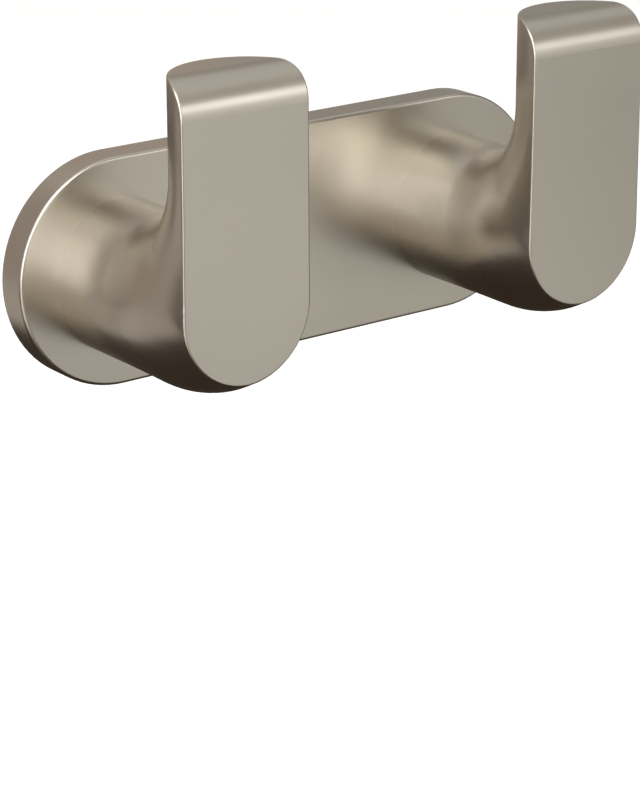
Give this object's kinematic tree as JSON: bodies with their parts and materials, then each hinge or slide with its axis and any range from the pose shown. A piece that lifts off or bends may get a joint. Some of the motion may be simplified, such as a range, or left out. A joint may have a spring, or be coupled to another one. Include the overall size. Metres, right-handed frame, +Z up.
{
  "type": "double robe hook",
  "caption": "Stadium-shaped wall plate with upturned hooks that have flat paddle fronts and rolled-back tops, hung on a concealed bracket.",
  "frame": {"origin": "middle of the plate's back, on the wall plane", "axes": "+X along the plate, +Y into the wall, +Z up; the hooks project along -Y"},
  "size_m": [0.127, 0.0782, 0.0689],
  "materials": {
    "satin_nickel": "zinc die casting, satin nickel plated",
    "zinc_plated_steel": "pressed or headed steel, bright zinc plated",
    "stainless_steel": "turned stainless steel",
    "grey_nylon": "injection-moulded nylon"
  },
  "bodies": {
    "root": {"hook_body": "satin_nickel", "wall_bracket": "zinc_plated_steel", "set_screw_left": "stainless_steel", "set_screw_right": "stainless_steel", "wall_screw_left": "zinc_plated_steel", "wall_screw_right": "zinc_plated_steel", "wall_anchor_left": "grey_nylon", "wall_anchor_right": "grey_nylon"}
  },
  "joints": []
}
